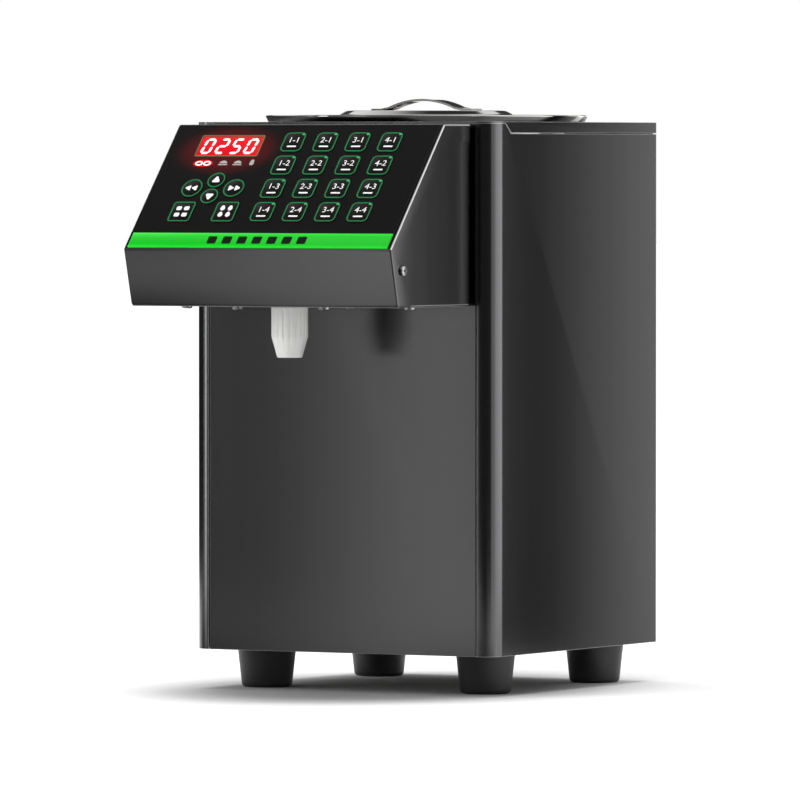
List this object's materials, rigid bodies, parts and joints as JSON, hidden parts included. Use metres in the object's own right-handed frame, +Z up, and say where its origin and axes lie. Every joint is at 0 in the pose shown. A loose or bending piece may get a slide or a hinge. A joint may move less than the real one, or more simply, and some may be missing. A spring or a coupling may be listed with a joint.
{
  "type": "fructose dispenser",
  "caption": "Counter-top syrup dispenser: a dark steel body on four feet with a lift-off tank lid, a sloping keypad head and a nozzle under it.",
  "frame": {"origin": "on the counter, under the middle of the whole machine", "axes": "+X to the right as seen by the user, +Y to the back, +Z up; the head and its nozzle are towards -Y"},
  "size_m": [0.25, 0.3774, 0.4291],
  "materials": {
    "black_steel": "brushed, dark coated stainless",
    "plain_steel": "brushed",
    "polished_steel": "polished stainless",
    "bright_screws": "bright",
    "black_plastic": "moulded satin",
    "rocker_plastic": "glossy",
    "white_plastic": "moulded",
    "nozzle_plastic": "milky, moulded",
    "overlay_film": "fine matt film",
    "key_film": "fine matt film",
    "green_strip": "glossy",
    "red_lens": "glossy, lit from behind",
    "module_plastic": "moulded",
    "circuit_board": "solder mask",
    "heater_band": "satin",
    "hose_silicone": "translucent",
    "pump_plastic": "moulded",
    "gear_plastic": "moulded",
    "supply_case": "satin"
  },
  "bodies": {
    "machine": {"left_side_panel": "black_steel", "right_side_panel": "black_steel", "front_panel": "black_steel", "rear_cover": "black_steel", "top_cover": "black_steel", "base_tray": "plain_steel", "feet": "black_plastic", "foot_bolts": "bright_screws", "panel_screws": "bright_screws", "head_cover": "black_steel", "head_frame": "black_steel", "head_bottom": "black_steel", "keypad_overlay": "overlay_film", "colour_strip": "green_strip", "display_lens": "red_lens", "display_module": "module_plastic", "control_board": "circuit_board", "tank": "polished_steel", "heater_band": "heater_band", "tank_outlet": "white_plastic", "inlet_hose": "hose_silicone", "outlet_hose": "hose_silicone", "pump_body": "pump_plastic", "pump_cover": "pump_plastic", "gear_motor": "plain_steel", "pump_bracket": "plain_steel", "power_supply": "supply_case", "power_inlet": "black_plastic", "valve_body": "white_plastic", "valve_spring": "plain_steel"},
    "lid": {"lid": "polished_steel", "lid_handle": "polished_steel", "lid_seal": "hose_silicone"},
    "nozzle": {"nozzle": "nozzle_plastic"},
    "poppet": {"valve_poppet": "white_plastic"},
    "drive_gear": {"drive_gear": "gear_plastic"},
    "driven_gear": {"driven_gear": "gear_plastic"},
    "rocker": {"power_rocker": "rocker_plastic"},
    "dose_key_01": {"dose_key_01": "key_film"},
    "dose_key_02": {"dose_key_02": "key_film"},
    "dose_key_03": {"dose_key_03": "key_film"},
    "dose_key_04": {"dose_key_04": "key_film"},
    "dose_key_05": {"dose_key_05": "key_film"},
    "dose_key_06": {"dose_key_06": "key_film"},
    "dose_key_07": {"dose_key_07": "key_film"},
    "dose_key_08": {"dose_key_08": "key_film"},
    "dose_key_09": {"dose_key_09": "key_film"},
    "dose_key_10": {"dose_key_10": "key_film"},
    "dose_key_11": {"dose_key_11": "key_film"},
    "dose_key_12": {"dose_key_12": "key_film"},
    "dose_key_13": {"dose_key_13": "key_film"},
    "dose_key_14": {"dose_key_14": "key_film"},
    "dose_key_15": {"dose_key_15": "key_film"},
    "dose_key_16": {"dose_key_16": "key_film"},
    "standby_key": {"standby_key": "key_film"},
    "rinse_key": {"rinse_key": "key_film"},
    "left_key": {"left_key": "key_film"},
    "right_key": {"right_key": "key_film"},
    "up_key": {"up_key": "key_film"},
    "down_key": {"down_key": "key_film"}
  },
  "joints": [
    {"name": "lid_lift", "type": "slide", "parent": "machine", "child": "lid", "axis": [0, 0, 1], "range_m": [0, 0.08]},
    {"name": "nozzle_removal", "type": "slide", "parent": "machine", "child": "nozzle", "axis": [0, 0, -1], "range_m": [0, 0.03]},
    {"name": "poppet_lift", "type": "slide", "parent": "machine", "child": "poppet", "axis": [0, 0, -1], "range_m": [0, 0.003], "stiffness_N_per_m": 150, "springref_m": -0.003, "deforming": ["valve_spring"]},
    {"name": "pump_spin", "type": "hinge", "parent": "machine", "child": "drive_gear", "pos_m": [0.0085, 0.0013, 0.07], "axis": [0, 1, 0], "continuous": true},
    {"name": "driven_spin", "type": "hinge", "parent": "machine", "child": "driven_gear", "pos_m": [-0.0085, 0.0013, 0.07], "axis": [0, 1, 0], "continuous": true},
    {"name": "rocker_tilt", "type": "hinge", "parent": "machine", "child": "rocker", "pos_m": [0.07, 0.1841, 0.097], "axis": [0, 0, 1], "range_deg": [0, 16]},
    {"name": "dose_key_01_press", "type": "slide", "parent": "machine", "child": "dose_key_01", "axis": [0, 0.7489, -0.6627], "range_m": [0, 0.0003], "stiffness_N_per_m": 3000, "springref_m": -0.0003},
    {"name": "dose_key_02_press", "type": "slide", "parent": "machine", "child": "dose_key_02", "axis": [0, 0.7489, -0.6627], "range_m": [0, 0.0003], "stiffness_N_per_m": 3000, "springref_m": -0.0003},
    {"name": "dose_key_03_press", "type": "slide", "parent": "machine", "child": "dose_key_03", "axis": [0, 0.7489, -0.6627], "range_m": [0, 0.0003], "stiffness_N_per_m": 3000, "springref_m": -0.0003},
    {"name": "dose_key_04_press", "type": "slide", "parent": "machine", "child": "dose_key_04", "axis": [0, 0.7489, -0.6627], "range_m": [0, 0.0003], "stiffness_N_per_m": 3000, "springref_m": -0.0003},
    {"name": "dose_key_05_press", "type": "slide", "parent": "machine", "child": "dose_key_05", "axis": [0, 0.7489, -0.6627], "range_m": [0, 0.0003], "stiffness_N_per_m": 3000, "springref_m": -0.0003},
    {"name": "dose_key_06_press", "type": "slide", "parent": "machine", "child": "dose_key_06", "axis": [0, 0.7489, -0.6627], "range_m": [0, 0.0003], "stiffness_N_per_m": 3000, "springref_m": -0.0003},
    {"name": "dose_key_07_press", "type": "slide", "parent": "machine", "child": "dose_key_07", "axis": [0, 0.7489, -0.6627], "range_m": [0, 0.0003], "stiffness_N_per_m": 3000, "springref_m": -0.0003},
    {"name": "dose_key_08_press", "type": "slide", "parent": "machine", "child": "dose_key_08", "axis": [0, 0.7489, -0.6627], "range_m": [0, 0.0003], "stiffness_N_per_m": 3000, "springref_m": -0.0003},
    {"name": "dose_key_09_press", "type": "slide", "parent": "machine", "child": "dose_key_09", "axis": [0, 0.7489, -0.6627], "range_m": [0, 0.0003], "stiffness_N_per_m": 3000, "springref_m": -0.0003},
    {"name": "dose_key_10_press", "type": "slide", "parent": "machine", "child": "dose_key_10", "axis": [0, 0.7489, -0.6627], "range_m": [0, 0.0003], "stiffness_N_per_m": 3000, "springref_m": -0.0003},
    {"name": "dose_key_11_press", "type": "slide", "parent": "machine", "child": "dose_key_11", "axis": [0, 0.7489, -0.6627], "range_m": [0, 0.0003], "stiffness_N_per_m": 3000, "springref_m": -0.0003},
    {"name": "dose_key_12_press", "type": "slide", "parent": "machine", "child": "dose_key_12", "axis": [0, 0.7489, -0.6627], "range_m": [0, 0.0003], "stiffness_N_per_m": 3000, "springref_m": -0.0003},
    {"name": "dose_key_13_press", "type": "slide", "parent": "machine", "child": "dose_key_13", "axis": [0, 0.7489, -0.6627], "range_m": [0, 0.0003], "stiffness_N_per_m": 3000, "springref_m": -0.0003},
    {"name": "dose_key_14_press", "type": "slide", "parent": "machine", "child": "dose_key_14", "axis": [0, 0.7489, -0.6627], "range_m": [0, 0.0003], "stiffness_N_per_m": 3000, "springref_m": -0.0003},
    {"name": "dose_key_15_press", "type": "slide", "parent": "machine", "child": "dose_key_15", "axis": [0, 0.7489, -0.6627], "range_m": [0, 0.0003], "stiffness_N_per_m": 3000, "springref_m": -0.0003},
    {"name": "dose_key_16_press", "type": "slide", "parent": "machine", "child": "dose_key_16", "axis": [0, 0.7489, -0.6627], "range_m": [0, 0.0003], "stiffness_N_per_m": 3000, "springref_m": -0.0003},
    {"name": "standby_key_press", "type": "slide", "parent": "machine", "child": "standby_key", "axis": [0, 0.7489, -0.6627], "range_m": [0, 0.0003], "stiffness_N_per_m": 3000, "springref_m": -0.0003},
    {"name": "rinse_key_press", "type": "slide", "parent": "machine", "child": "rinse_key", "axis": [0, 0.7489, -0.6627], "range_m": [0, 0.0003], "stiffness_N_per_m": 3000, "springref_m": -0.0003},
    {"name": "left_key_press", "type": "slide", "parent": "machine", "child": "left_key", "axis": [0, 0.7489, -0.6627], "range_m": [0, 0.0003], "stiffness_N_per_m": 3000, "springref_m": -0.0003},
    {"name": "right_key_press", "type": "slide", "parent": "machine", "child": "right_key", "axis": [0, 0.7489, -0.6627], "range_m": [0, 0.0003], "stiffness_N_per_m": 3000, "springref_m": -0.0003},
    {"name": "up_key_press", "type": "slide", "parent": "machine", "child": "up_key", "axis": [0, 0.7489, -0.6627], "range_m": [0, 0.0003], "stiffness_N_per_m": 3000, "springref_m": -0.0003},
    {"name": "down_key_press", "type": "slide", "parent": "machine", "child": "down_key", "axis": [0, 0.7489, -0.6627], "range_m": [0, 0.0003], "stiffness_N_per_m": 3000, "springref_m": -0.0003}
  ],
  "couplings": [
    {"joint": "driven_spin", "follows": "pump_spin", "ratio": -1}
  ]
}
